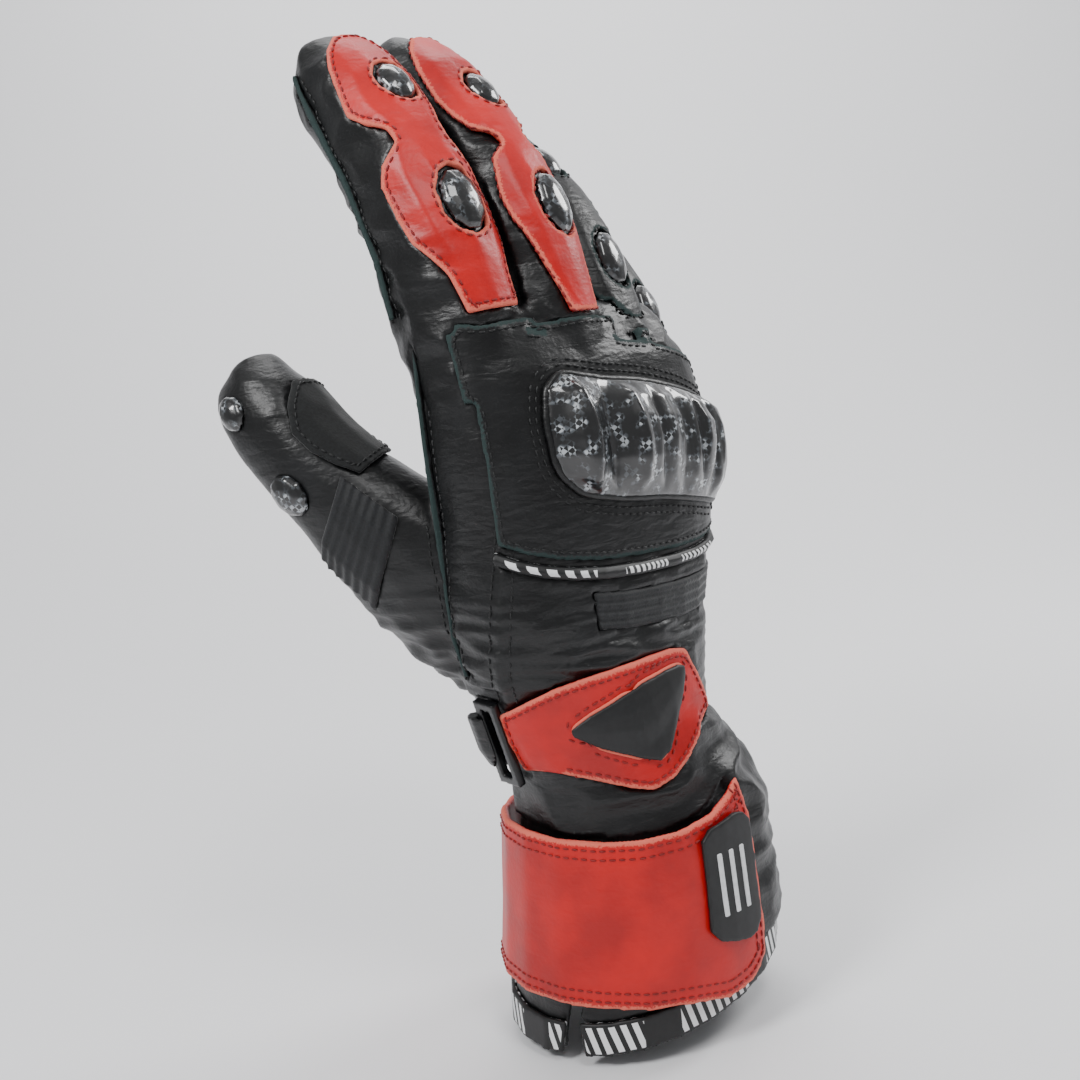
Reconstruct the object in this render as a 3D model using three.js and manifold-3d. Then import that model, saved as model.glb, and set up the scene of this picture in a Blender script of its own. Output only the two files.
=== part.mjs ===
// A right-hand motorcycle gauntlet, worn form, fingers up.
// Millimetres. +Z runs from the cuff to the fingertips, -Y is the back of the hand, -X is the thumb side.
// The origin is the middle of the wrist, where a hand fills the glove and holds it up.
import * as THREE from "three";
import { mergeVertices } from "three/addons/utils/BufferGeometryUtils.js";
import Module from "manifold-3d";

const wasm = await Module();
wasm.setup();

// Driving sizes
const PALM_LENGTH = 104; // wrist to the web of the fingers
const PALM_WIDTH = 90;
const PALM_DEPTH = 43;
const WRIST_WIDTH = 62;
const WRIST_DEPTH = 52;
const FINGER_LENGTH = 116; // the middle finger, from its root inside the palm
const FINGER_WIDTH = 25;
const FINGER_DEPTH = 32;
const THUMB_LENGTH = 104; // from its root inside the palm
const THUMB_WIDTH = 27;
const CUFF_LENGTH = 86; // wrist to hem
const CUFF_WIDTH = 79;
const CUFF_DEPTH = 68;
const HEM_MIDDLE = 0.86; // the hem under the axis, as a share of the cuff length
const HEM_SLANT = 11; // degrees, lower on the thumb side
const BINDING_HEIGHT = 9;

// Walls and clearances
const LEATHER = 2.2;
const OVERLAY = 1.8; // a second layer of leather sewn on
const GAP = 0.3;

// Small parts
const CAP_LENGTH = 18; // the oval caps on the finger joints
const CAP_WIDTH = 12;
const CAP_RISE = 3; // above the leather
const WINDOW_EDGE = 0.8; // bare ring between a cap and the layer it looks through
const PANEL = 1.4; // the leather over the knuckles
const GUARD_EDGE = 1.3; // the knuckle guard's rim above its panel
const GUARD_RISE = 7;
const PIPING = 2.6;
const PIPING_WIDTH = 3.2;
const RIBS_RISE = 1.6;
const WELT = 1.8; // raised seam edge
const INDEX_WELT_TURN = 2.5; // half its width, in degrees round the finger
const PALM_WELT_TURN = 1.2; // half its width, in degrees round the palm
const STRAP = 2.4;
const STRAP_PAD = 2.2;
const FLAP = 2.2;
const FLAP_STAND = 2.2; // the flap stands this far off the sleeve at its hem
const FLAP_STAND_TOP = 3.4;
const FLAP_STAND_SHARE = 0.6; // of the way round by which the flap has drawn in to its stand
const BADGE = 1.2; // above the flap
const BINDING = 1.4;
const SLIT_WIDTH = 8; // degrees each way at the hem
const SLIT_TURN = -76; // degrees round the sleeve
const SLIT_TOP = 0.72; // share of the cuff length
const SLIT_TIP = 1; // degrees each way at its top
const RING_LENGTH = 25;
const RING_WIDTH = 9;
const RING_BAR = 2.4;
const RING_LIFT = 1; // the ring lies on the strap's end
const LOOP_RISE = 6;
const LOOP_EDGE = 0.7; // the loop's height at its ends, as a share of its rise

// Reach of cutting bodies beyond what they cut
const MOUTH_REACH = 5;
const CUT_REACH = 10;
const BIG = 300;
const SLIT_FOOT = 1.15; // the slit's cut ends below every hem, as a share of the cuff length

const DEGREE = Math.PI / 180;
const UP = new THREE.Vector3(0, 0, 1);

// Solids

function solidOf(geometry) {
  const bare = geometry.clone();
  bare.deleteAttribute("normal");
  bare.deleteAttribute("uv");
  const merged = mergeVertices(bare, 1e-4);
  return new wasm.Manifold(
    new wasm.Mesh({
      numProp: 3,
      vertProperties: new Float32Array(merged.attributes.position.array),
      triVerts: new Uint32Array(merged.index.array),
    }),
  );
}

function geometryOf(solid) {
  const mesh = solid.getMesh();
  const geometry = new THREE.BufferGeometry();
  geometry.setAttribute("position", new THREE.BufferAttribute(mesh.vertProperties, 3));
  geometry.setIndex(new THREE.BufferAttribute(mesh.triVerts, 1));
  geometry.computeVertexNormals();
  return geometry;
}

// A closed skin through rings of equal point count, each end closed by a fan to its middle.
function loft(rings) {
  const count = rings[0].length;
  const points = rings.flat();
  const middle = (ring) => ring.reduce((sum, p) => sum.add(p), new THREE.Vector3()).divideScalar(count);
  points.push(middle(rings[0]), middle(rings.at(-1)));
  const first = points.length - 2;
  const faces = [];
  for (let k = 0; k < count; k += 1) {
    const next = (k + 1) % count;
    faces.push(first, next, k);
    const top = (rings.length - 1) * count;
    faces.push(first + 1, top + k, top + next);
    for (let row = 0; row < rings.length - 1; row += 1) {
      const low = row * count;
      const high = low + count;
      faces.push(low + k, low + next, high + next, low + k, high + next, high + k);
    }
  }
  const geometry = new THREE.BufferGeometry().setFromPoints(points);
  geometry.setIndex(faces);
  const solid = solidOf(geometry);
  if (solid.volume() > 0) return solid;
  geometry.setIndex(faces.toReversed());
  return solidOf(geometry);
}

// One ring of a limb: a squarish oval about its station, with its own depth on the back and on the palm side.
// Angle 0 is the back, a quarter turn is the little-finger side.
function ringAt(station, grow, count) {
  const ring = [];
  for (let k = 0; k < count; k += 1) {
    ring.push(surfacePoint(station, (2 * Math.PI * k) / count, grow));
  }
  return ring;
}

function surfacePoint(station, angle, grow) {
  const power = 2 / station.square;
  const s = Math.sin(angle);
  const c = Math.cos(angle);
  const deep = c > 0 ? station.back : station.palm;
  const x = Math.sign(s) * Math.abs(s) ** power * (station.half + grow);
  const y = Math.sign(c) * Math.abs(c) ** power * (deep + grow);
  return station.centre.clone().addScaledVector(station.side, x).addScaledVector(station.out, y);
}

// The palm and wrist, as rows from the wrist seam up. Shares: up of the palm length, wide and across of the
// palm width, back, palm and inward of the palm depth. Lean is degrees towards the palm.
const PALM_ROWS = [
  { up: -0.06, wide: 0.36, back: 0.6, palm: 0.6, across: -0.005, inward: 0.0, lean: 0, square: 2.1 },
  { up: 0.06, wide: 0.375, back: 0.57, palm: 0.62, across: -0.03, inward: 0.0, lean: 0, square: 2.1 },
  { up: 0.18, wide: 0.42, back: 0.54, palm: 0.62, across: -0.045, inward: 0.0, lean: 0, square: 2.2 },
  { up: 0.34, wide: 0.455, back: 0.52, palm: 0.6, across: -0.03, inward: 0.0, lean: 0, square: 2.4 },
  { up: 0.52, wide: 0.475, back: 0.5, palm: 0.55, across: -0.01, inward: 0.0, lean: 2, square: 2.6 },
  { up: 0.7, wide: 0.49, back: 0.49, palm: 0.5, across: -0.01, inward: 0.02, lean: 4, square: 2.7 },
  { up: 0.88, wide: 0.475, back: 0.44, palm: 0.47, across: -0.03, inward: 0.05, lean: 7, square: 2.6 },
  { up: 1.02, wide: 0.42, back: 0.34, palm: 0.4, across: -0.07, inward: 0.12, lean: 12, square: 2.4 },
];
const PALM_SIDES = 28;

function palmStation(row) {
  const lean = row.lean * DEGREE;
  return {
    at: row.up,
    centre: new THREE.Vector3(row.across * PALM_WIDTH, row.inward * PALM_DEPTH, row.up * PALM_LENGTH),
    side: new THREE.Vector3(1, 0, 0),
    out: new THREE.Vector3(0, -Math.cos(lean), Math.sin(lean)),
    half: row.wide * PALM_WIDTH,
    back: row.back * PALM_DEPTH,
    palm: row.palm * PALM_DEPTH,
    square: row.square,
  };
}

// The digits. Shares: across of the palm width, inward of the palm depth, up of the palm length, long of the
// finger length, size of the finger's girth. Angles in degrees: splay towards the little finger, roll of the
// back about the digit, and the curl at the root, middle and end.
const DIGITS = {
  index: { across: -0.345, inward: 0.06, up: 0.8, long: 0.98, size: 1.06, splay: -5, roll: -10, curl: [12, 32, 54] },
  middle: { across: -0.095, inward: -0.07, up: 0.81, long: 1.0, size: 1.02, splay: -1.5, roll: -3, curl: [14, 34, 56] },
  ring: { across: 0.145, inward: -0.03, up: 0.75, long: 0.95, size: 0.97, splay: 2, roll: 5, curl: [18, 42, 62] },
  little: { across: 0.36, inward: 0.1, up: 0.66, long: 0.8, size: 0.88, splay: 6, roll: 14, curl: [20, 42, 60] },
};
// A finger's girth along its length: at is a share of the length, wide and deep of the finger's own girth.
const FINGER_ROWS = [
  { at: 0.0, wide: 0.98, deep: 0.92 },
  { at: 0.22, wide: 1.02, deep: 0.99 },
  { at: 0.4, wide: 1.0, deep: 1.0 },
  { at: 0.52, wide: 0.99, deep: 0.99 },
  { at: 0.64, wide: 0.94, deep: 0.93 },
  { at: 0.78, wide: 0.91, deep: 0.88 },
  { at: 0.89, wide: 0.87, deep: 0.81 },
  { at: 0.96, wide: 0.74, deep: 0.65 },
  { at: 1.0, wide: 0.46, deep: 0.38 },
];
const FINGER_SIDES = 14;
const FINGER_SQUARE = 2.4;
// Each bend of a digit runs from one share of its length to another.
const FIRST_BEND = { from: 0.25, to: 0.56 };
const SECOND_BEND = { from: 0.58, to: 0.91 };
const PATH_STEPS = 60;

function curlAt(curl, at) {
  const first = THREE.MathUtils.smoothstep(at, FIRST_BEND.from, FIRST_BEND.to);
  const second = THREE.MathUtils.smoothstep(at, SECOND_BEND.from, SECOND_BEND.to);
  return curl[0] + (curl[1] - curl[0]) * first + (curl[2] - curl[1]) * second;
}

// The digit's frame after splay, roll and curl: along its length, across it and out of its back.
function digitFrame(digit, curlDegrees) {
  const splay = new THREE.Quaternion().setFromAxisAngle(new THREE.Vector3(0, 1, 0), digit.splay * DEGREE);
  const pitch = new THREE.Quaternion().setFromAxisAngle(
    new THREE.Vector3(1, 0, 0),
    -(digit.pitch ?? 0) * DEGREE,
  );
  const roll = new THREE.Quaternion().setFromAxisAngle(UP, digit.roll * DEGREE);
  const curl = new THREE.Quaternion().setFromAxisAngle(new THREE.Vector3(1, 0, 0), -curlDegrees * DEGREE);
  const turn = splay.multiply(pitch).multiply(roll).multiply(curl);
  return {
    along: new THREE.Vector3(0, 0, 1).applyQuaternion(turn),
    side: new THREE.Vector3(1, 0, 0).applyQuaternion(turn),
    out: new THREE.Vector3(0, -1, 0).applyQuaternion(turn),
  };
}

function digitStations(digit, length, width, depth, rows) {
  const centre = new THREE.Vector3(
    digit.across * PALM_WIDTH,
    digit.inward * PALM_DEPTH,
    digit.up * PALM_LENGTH,
  );
  const step = length / PATH_STEPS;
  const path = [];
  for (let k = 0; k <= PATH_STEPS; k += 1) {
    const frame = digitFrame(digit, curlAt(digit.curl, k / PATH_STEPS));
    path.push({ centre: centre.clone(), ...frame });
    centre.addScaledVector(frame.along, step);
  }
  return rows.map((row) => ({
    at: row.at,
    ...path[Math.round(row.at * PATH_STEPS)],
    half: (row.wide * width) / 2,
    back: (row.deep * depth) / 2,
    palm: (row.deep * depth) / 2,
    square: row.square ?? FINGER_SQUARE,
  }));
}

function fingerStations(name) {
  const digit = DIGITS[name];
  return digitStations(
    digit,
    digit.long * FINGER_LENGTH,
    digit.size * FINGER_WIDTH,
    digit.size * FINGER_DEPTH,
    FINGER_ROWS,
  );
}

// The thumb leaves the palm low on its side and points up, out and towards the palm.
const THUMB = { across: -0.19, inward: 0.3, up: 0.22, splay: -34, pitch: 30, roll: -62, curl: [-6, 6, 24] };
const THUMB_ROWS = [
  { at: 0.0, wide: 1.75, deep: 1.2, square: 2 },
  { at: 0.16, wide: 1.75, deep: 1.25, square: 2 },
  { at: 0.32, wide: 1.55, deep: 1.2, square: 2 },
  { at: 0.46, wide: 1.28, deep: 1.12 },
  { at: 0.58, wide: 1.06, deep: 1.04 },
  { at: 0.7, wide: 0.98, deep: 1.0 },
  { at: 0.82, wide: 0.98, deep: 0.98 },
  { at: 0.91, wide: 0.92, deep: 0.86 },
  { at: 0.97, wide: 0.76, deep: 0.66 },
  { at: 1.0, wide: 0.5, deep: 0.36 },
];

function thumbStations() {
  return digitStations(THUMB, THUMB_LENGTH, THUMB_WIDTH, THUMB_WIDTH, THUMB_ROWS);
}

const palmStations = PALM_ROWS.map(palmStation);
const fingers = Object.fromEntries(Object.keys(DIGITS).map((name) => [name, fingerStations(name)]));
const thumb = thumbStations();

// Both ends are drawn in by the same growth, so that a cavity keeps its wall there too.
function limb(stations, grow, sides) {
  const drawn = (station, distance) => ({
    ...station,
    centre: station.centre.clone().addScaledVector(station.along ?? UP, distance),
  });
  const rows = [drawn(stations[0], -grow), ...stations.slice(1, -1), drawn(stations.at(-1), grow)];
  return loft(rows.map((station) => ringAt(station, grow, sides)));
}

// The whole hand form, grown outwards (or inwards) by a distance.
function handForm(grow, palmSides = PALM_SIDES, fingerSides = FINGER_SIDES) {
  let form = limb(palmStations, grow, palmSides);
  for (const stations of Object.values(fingers)) form = form.add(limb(stations, grow, fingerSides));
  return form.add(limb(thumb, grow, fingerSides));
}

const ROOM_PALM_SIDES = 20;
const ROOM_FINGER_SIDES = 10;
const WRIST_SEAM = palmStations[0].centre.z;
const handOuter = handForm(0);
const wristMouth = limb(
  [
    { ...palmStations[0], centre: palmStations[0].centre.clone().setZ(WRIST_SEAM - MOUTH_REACH) },
    { ...palmStations[0], centre: palmStations[0].centre.clone().setZ(WRIST_SEAM + MOUTH_REACH) },
  ],
  -LEATHER,
  PALM_SIDES,
);
const handRoom = handForm(-LEATHER, ROOM_PALM_SIDES, ROOM_FINGER_SIDES);
const handShell = handOuter.subtract(handRoom.add(wristMouth));

// The sleeve of the gauntlet: an oval tube from the wrist seam down to the hem.
const SLEEVE_ROWS = [
  { down: 0.0, flare: 0.1, across: 0.0, inward: 0.0 },
  { down: 0.1, flare: 0.14, across: 0.05, inward: -0.03 },
  { down: 0.25, flare: 0.4, across: 0.08, inward: -0.05 },
  { down: 0.45, flare: 0.68, across: 0.08, inward: -0.05 },
  { down: 0.65, flare: 0.86, across: 0.07, inward: -0.05 },
  { down: 0.85, flare: 0.97, across: 0.06, inward: -0.04 },
  { down: 1.2, flare: 1.0, across: 0.05, inward: -0.02 },
];
const SLEEVE_SIDES = 24;
const SLEEVE_TOP = WRIST_SEAM - GAP;

function sleeveStation(row) {
  return {
    at: row.down,
    centre: new THREE.Vector3(
      row.across * CUFF_WIDTH,
      row.inward * CUFF_DEPTH,
      SLEEVE_TOP - row.down * CUFF_LENGTH,
    ),
    side: new THREE.Vector3(1, 0, 0),
    out: new THREE.Vector3(0, -1, 0),
    half: THREE.MathUtils.lerp(WRIST_WIDTH, CUFF_WIDTH, row.flare) / 2,
    back: THREE.MathUtils.lerp(WRIST_DEPTH, CUFF_DEPTH, row.flare) / 2,
    palm: THREE.MathUtils.lerp(WRIST_DEPTH, CUFF_DEPTH, row.flare) / 2,
    square: 2.1,
  };
}
const sleeveStations = SLEEVE_ROWS.map(sleeveStation);

function sleeveTube(grow) {
  return loft(sleeveStations.map((station) => ringAt(station, grow, SLEEVE_SIDES)));
}

// Layers

// A place on a limb's skin, by share along it and degrees round it from its back, raised by a distance.
function skinPoint(stations, at, turn, grow) {
  const found = stations.findIndex((station) => station.at >= at);
  const high = THREE.MathUtils.clamp(found < 0 ? stations.length - 1 : found, 1, stations.length - 1);
  const before = stations[high - 1];
  const after = stations[high];
  const share = (at - before.at) / (after.at - before.at);
  return surfacePoint(before, turn * DEGREE, grow).lerp(surfacePoint(after, turn * DEGREE, grow), share);
}

// A grid of places from an outline's rows. Each row runs round the limb from one turn to another; atEnd and dip
// slant and bow it along the limb.
function gridFromRows(rows, columns) {
  return rows.map((row) =>
    Array.from({ length: columns + 1 }, (_, k) => {
      const t = k / columns;
      const slanted = THREE.MathUtils.lerp(row.at, row.atEnd ?? row.at, t);
      return { at: slanted - (row.dip ?? 0) * 4 * t * (1 - t), turn: THREE.MathUtils.lerp(row.from, row.to, t) };
    }),
  );
}

// The same from columns, each running along the limb from low to high at one turn.
function gridFromColumns(columns, rows) {
  return columns.map((column) =>
    Array.from({ length: rows + 1 }, (_, k) => ({
      at: THREE.MathUtils.lerp(column.low, column.high, k / rows),
      turn: column.turn,
    })),
  );
}

// A closed body over a grid of places: outer and inner give the height above the skin at each grid place.
function blanket(stations, grid, inner, outer) {
  const rows = grid.length;
  const columns = grid[0].length;
  const points = [];
  for (const height of [inner, outer]) {
    grid.forEach((row, i) => {
      row.forEach((spot, j) => {
        const grow = typeof height === "number" ? height : height(i / (rows - 1), j / (columns - 1));
        points.push(skinPoint(stations, spot.at, spot.turn, grow));
      });
    });
  }
  const layer = rows * columns;
  const faces = [];
  const quad = (a, b, c, d) => faces.push(a, b, c, a, c, d);
  for (let i = 0; i < rows - 1; i += 1) {
    for (let j = 0; j < columns - 1; j += 1) {
      const a = i * columns + j;
      quad(a, a + 1, a + 1 + columns, a + columns);
      quad(layer + a, layer + a + columns, layer + a + 1 + columns, layer + a + 1);
    }
    const left = i * columns;
    const right = left + columns - 1;
    quad(left, left + columns, layer + left + columns, layer + left);
    quad(right, layer + right, layer + right + columns, right + columns);
  }
  for (let j = 0; j < columns - 1; j += 1) {
    const end = (rows - 1) * columns + j;
    quad(j, layer + j, layer + j + 1, j + 1);
    quad(end, end + 1, layer + end + 1, layer + end);
  }
  const geometry = new THREE.BufferGeometry().setFromPoints(points);
  geometry.setIndex(faces);
  const solid = solidOf(geometry);
  if (solid.volume() > 0) return solid;
  geometry.setIndex(faces.toReversed());
  return solidOf(geometry);
}

const NEAR_SHARE = 0.02; // the neighbours that give a skin place its directions
const NEAR_TURN = 4;

// A solid of revolution or box set on a skin place, its own +Z out of the skin and +Y along the limb.
function setOn(geometry, stations, at, turn, grow) {
  const here = skinPoint(stations, at, turn, grow);
  const above = skinPoint(stations, at + NEAR_SHARE, turn, grow);
  const along = above.sub(skinPoint(stations, at - NEAR_SHARE, turn, grow));
  const beside = skinPoint(stations, at, turn + NEAR_TURN, grow);
  const round = beside.sub(skinPoint(stations, at, turn - NEAR_TURN, grow));
  along.normalize();
  const out = round.clone().cross(along).normalize();
  const across = along.clone().cross(out);
  const middle = stations[0].centre.clone().lerp(stations.at(-1).centre, 0.5);
  if (out.dot(here.clone().sub(middle)) < 0) {
    out.negate();
    across.negate();
  }
  const basis = new THREE.Matrix4().makeBasis(across, along, out).setPosition(here);
  return solidOf(geometry.clone().applyMatrix4(basis));
}

const overlayForm = handForm(GAP);
const overHand = (limbForm) => limbForm.subtract(overlayForm);
const SINK = -1; // layers start under the skin and are cut by it
const REACH = 5; // and start above it, cut down to their own thickness

const CAP_SIDES = 10;
const CAP_RINGS = 6;

function cap(stations, spot) {
  const geometry = new THREE.SphereGeometry(1, CAP_SIDES, CAP_RINGS);
  geometry.rotateX(Math.PI / 2);
  geometry.scale((spot.wide * CAP_WIDTH) / 2, (spot.long * CAP_LENGTH) / 2, CAP_RISE);
  return overHand(setOn(geometry, stations, spot.at, spot.turn, GAP));
}

function capWindow(stations, spot) {
  const geometry = new THREE.CylinderGeometry(1, 1, CUT_REACH, CAP_SIDES);
  geometry.rotateX(Math.PI / 2);
  const wide = (spot.wide * CAP_WIDTH) / 2 + WINDOW_EDGE;
  const long = (spot.long * CAP_LENGTH) / 2 + WINDOW_EDGE;
  geometry.scale(wide, long, 1);
  return setOn(geometry, stations, spot.at, spot.turn, GAP);
}

// The second layers on the fingers, as rows from the tip down: at is a share of the finger's length, from and to
// are degrees round it. The waists lie between the joints.
const OVERLAY_ROWS = {
  index: [
    { at: 0.905, from: -14, to: 12 },
    { at: 0.865, from: -34, to: 26 },
    { at: 0.82, from: -46, to: 36 },
    { at: 0.76, from: -54, to: 46 },
    { at: 0.695, from: -60, to: 44 },
    { at: 0.655, from: -48, to: 34 },
    { at: 0.62, from: -30, to: 27 },
    { at: 0.58, from: -28, to: 26 },
    { at: 0.545, from: -52, to: 34 },
    { at: 0.51, from: -62, to: 44 },
    { at: 0.43, from: -60, to: 54 },
    { at: 0.37, from: -54, to: 56 },
    { at: 0.33, from: -40, to: 50 },
    { at: 0.29, from: -28, to: 38 },
    { at: 0.21, from: -20, to: 37 },
  ],
  middle: [
    { at: 0.895, from: -14, to: 12 },
    { at: 0.85, from: -32, to: 26 },
    { at: 0.78, from: -46, to: 40 },
    { at: 0.7, from: -50, to: 44 },
    { at: 0.65, from: -46, to: 36 },
    { at: 0.6, from: -36, to: 26 },
    { at: 0.57, from: -17, to: 16 },
    { at: 0.54, from: -13, to: 16 },
    { at: 0.51, from: -33, to: 28 },
    { at: 0.43, from: -43, to: 44 },
    { at: 0.38, from: -40, to: 48 },
    { at: 0.34, from: -31, to: 42 },
    { at: 0.28, from: -22, to: 32 },
    { at: 0.17, from: -6, to: 28 },
  ],
  ring: [
    { at: 0.84, from: -16, to: 16 },
    { at: 0.78, from: -34, to: 30 },
    { at: 0.7, from: -44, to: 44 },
    { at: 0.6, from: -44, to: 44 },
    { at: 0.53, from: -30, to: 30 },
    { at: 0.48, from: -26, to: 26 },
    { at: 0.43, from: -40, to: 40 },
    { at: 0.35, from: -46, to: 46 },
    { at: 0.28, from: -40, to: 40 },
    { at: 0.24, from: -28, to: 28 },
    { at: 0.2, from: -24, to: 24 },
  ],
  little: [
    { at: 0.84, from: -16, to: 16 },
    { at: 0.76, from: -32, to: 32 },
    { at: 0.66, from: -42, to: 42 },
    { at: 0.57, from: -30, to: 30 },
    { at: 0.52, from: -27, to: 27 },
    { at: 0.45, from: -42, to: 42 },
    { at: 0.36, from: -46, to: 46 },
    { at: 0.29, from: -36, to: 36 },
    { at: 0.24, from: -26, to: 26 },
  ],
};
const OVERLAY_COLUMNS = 4;

// The caps: at and turn place the middle; wide and long are shares of the cap's own sizes.
const CAPS = {
  index: [
    { name: "tip", at: 0.728, turn: 8, wide: 0.86, long: 0.76 },
    { name: "joint", at: 0.43, turn: 8, wide: 1, long: 1 },
  ],
  middle: [
    { name: "tip", at: 0.7, turn: 10, wide: 0.8, long: 0.74 },
    { name: "joint", at: 0.4, turn: 14, wide: 0.94, long: 1 },
  ],
  ring: [
    { name: "tip", at: 0.63, turn: 3, wide: 0.8, long: 0.74 },
    { name: "joint", at: 0.345, turn: 6, wide: 0.94, long: 0.94 },
  ],
  little: [{ name: "joint", at: 0.36, turn: 2, wide: 0.86, long: 0.86 }],
};
const THUMB_CAPS = [
  { name: "tip", at: 0.88, turn: -2, wide: 0.72, long: 0.6 },
  { name: "joint", at: 0.65, turn: -8, wide: 0.9, long: 0.72 },
];

// Scene graph
const glove = new THREE.Group();
const leather = (color) => new THREE.MeshStandardMaterial({ color, roughness: 0.5, metalness: 0 });
const BLACK = 0x17181a;
const RED = 0xd92a22;
const CARBON = 0x2b2e31;
const blackLeather = leather(BLACK);
const redLeather = leather(RED);
const carbon = new THREE.MeshStandardMaterial({ color: CARBON, roughness: 0.15, metalness: 0.2 });
const rubber = new THREE.MeshStandardMaterial({ color: BLACK, roughness: 0.7, metalness: 0 });

function place(name, solid, material) {
  const mesh = new THREE.Mesh(geometryOf(solid), material);
  mesh.name = name;
  glove.add(mesh);
}

// The hand
place("hand_shell", handShell, blackLeather);

// The fingers' second layers and caps
for (const [name, rows] of Object.entries(OVERLAY_ROWS)) {
  const stations = fingers[name];
  const region = blanket(stations, gridFromRows(rows, OVERLAY_COLUMNS), SINK, GAP + OVERLAY);
  let overlay = overHand(region);
  for (const spot of CAPS[name]) {
    overlay = overlay.subtract(capWindow(stations, spot));
    place(`${name}_${spot.name}_cap`, cap(stations, spot), carbon);
  }
  place(`${name}_overlay`, overlay, name === "index" || name === "middle" ? redLeather : blackLeather);
}
for (const spot of THUMB_CAPS) place(`thumb_${spot.name}_cap`, cap(thumb, spot), carbon);

// The stretch panel at the thumb's root: ribs across it, slanting up towards the palm.
const THUMB_RIB_COUNT = 7;
const THUMB_RIBS = { low: 0.33, high: 0.5, from: -34, to: 46, slant: 0.09 };
function ribbed(stations, span, count, columns) {
  const rows = [];
  for (let k = 0; k <= count * 2; k += 1) {
    const at = THREE.MathUtils.lerp(span.low, span.high, k / (count * 2));
    rows.push({ at, atEnd: at + span.slant, from: span.from, to: span.to, dip: span.dip ?? 0 });
  }
  const crest = (s) => (Math.round(s * count * 2) % 2 ? GAP + RIBS_RISE : GAP + RIBS_RISE / 2);
  return overHand(blanket(stations, gridFromRows(rows, columns), SINK, crest));
}
place("thumb_stretch_panel", ribbed(thumb, THUMB_RIBS, THUMB_RIB_COUNT, 4), blackLeather);

// The soft patch on the thumb's inner face
const THUMB_PATCH_ROWS = [
  { at: 0.86, from: 84, to: 140 },
  { at: 0.8, from: 57, to: 150 },
  { at: 0.74, from: 40, to: 150 },
  { at: 0.68, from: 42, to: 150 },
  { at: 0.62, from: 50, to: 140 },
  { at: 0.56, from: 62, to: 130 },
];
const patchGrid = gridFromRows(THUMB_PATCH_ROWS, OVERLAY_COLUMNS);
place("thumb_patch", overHand(blanket(thumb, patchGrid, SINK, GAP + PANEL)), blackLeather);

// The back of the hand
const PANEL_ROWS = [
  { at: 1.01, atEnd: 0.86, from: -62, to: 62 },
  { at: 0.86, atEnd: 0.76, from: -64, to: 66 },
  { at: 0.68, atEnd: 0.6, dip: 0.01, from: -66, to: 68 },
  { at: 0.49, atEnd: 0.42, dip: 0.05, from: -68, to: 68 },
];
let panelRegion = blanket(palmStations, gridFromRows(PANEL_ROWS, 8), SINK, REACH);
// The panel runs up over each finger's root: top is a share of the finger's length.
const PANEL_FINGERS = {
  index: { top: 0.18, from: -49, to: 52 },
  middle: { top: 0.16, from: -52, to: 52 },
  ring: { top: 0.17, from: -52, to: 52 },
  little: { top: 0.2, from: -52, to: 62 },
};
for (const [name, { top, from, to }] of Object.entries(PANEL_FINGERS)) {
  const rows = [
    { at: top, from, to },
    { at: 0.02, from, to },
  ];
  panelRegion = panelRegion.add(blanket(fingers[name], gridFromRows(rows, 2), SINK, REACH));
}
const panelSkin = handForm(GAP + PANEL);
place("knuckle_panel", panelSkin.intersect(panelRegion).subtract(overlayForm), blackLeather);

// The knuckle guard: four humps across it, one for each finger, highest over the first.
const GUARD_ROWS = [
  { at: 0.865, atEnd: 0.74, from: -20, to: 48 },
  { at: 0.83, atEnd: 0.71, from: -27, to: 52 },
  { at: 0.78, atEnd: 0.66, from: -29, to: 54 },
  { at: 0.73, atEnd: 0.61, from: -30, to: 54 },
  { at: 0.68, atEnd: 0.57, from: -30, to: 53 },
  { at: 0.63, atEnd: 0.53, from: -28, to: 51 },
  { at: 0.585, atEnd: 0.49, dip: 0.01, from: -22, to: 46 },
];
const GUARD_COLUMNS = 16;
const HUMP_COUNT = 4;
const HUMP_FALL = 0.35; // share of the rise lost by the last hump
const VALLEY = 0.42; // share of the rise left between humps
const HUMP_FULLNESS = 0.6; // below 1, a hump is fuller than a sine along the hand
const END_STEEPNESS = 2.4; // how fast the first and last hump rise from the guard's ends
const guardBase = 2 * GAP + PANEL;
function guardHeight(s, t) {
  const hump = Math.abs(Math.sin(t * HUMP_COUNT * Math.PI));
  const along = Math.sin(s * Math.PI) ** HUMP_FULLNESS;
  const end = Math.min(1, Math.sin(t * Math.PI) * END_STEEPNESS);
  const high = GUARD_RISE * (1 - HUMP_FALL * t) * (VALLEY + (1 - VALLEY) * hump);
  return guardBase + GUARD_EDGE + high * along * end;
}
const guardRegion = blanket(palmStations, gridFromRows(GUARD_ROWS, GUARD_COLUMNS), SINK, guardHeight);
place("knuckle_guard", guardRegion.subtract(handForm(guardBase)), carbon);

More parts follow.
